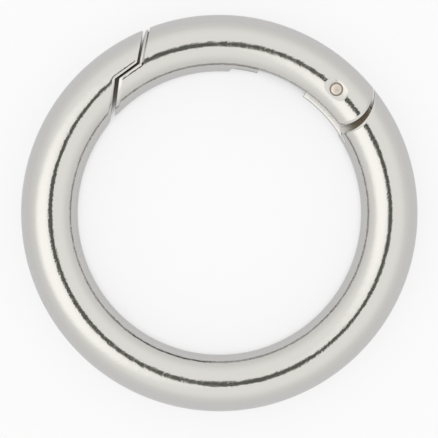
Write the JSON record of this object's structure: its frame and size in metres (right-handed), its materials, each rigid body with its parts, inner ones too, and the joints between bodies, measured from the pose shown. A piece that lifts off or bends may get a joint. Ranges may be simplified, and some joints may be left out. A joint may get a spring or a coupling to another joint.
{
  "type": "spring gate ring",
  "caption": "Round wire ring with a hinged, sprung gate that opens inwards, for clipping onto straps, loops and other rings.",
  "frame": {"origin": "centre of the ring, half way through its thickness", "axes": "+Z is square to the ring, along the hinge pin; the pin stands 46.6 degrees round from +X towards +Y, and the gate runs on from it to its nose at about 120 degrees"},
  "size_m": [0.035, 0.035, 0.005],
  "materials": {
    "plated_zinc": "polished",
    "pin_steel": "satin",
    "spring_steel": "satin"
  },
  "bodies": {
    "ring": {"ring_body": "plated_zinc"},
    "gate": {"gate": "plated_zinc", "hinge_pin": "pin_steel", "gate_spring": "spring_steel"}
  },
  "joints": [
    {"name": "gate_hinge", "type": "hinge", "parent": "ring", "child": "gate", "pos_m": [0.01031, 0.0109, 0], "axis": [0, 0, 1], "range_deg": [0, 28], "stiffness_Nm_per_rad": 0.04, "springref_deg": -21.77, "deforming": ["gate_spring"]}
  ]
}
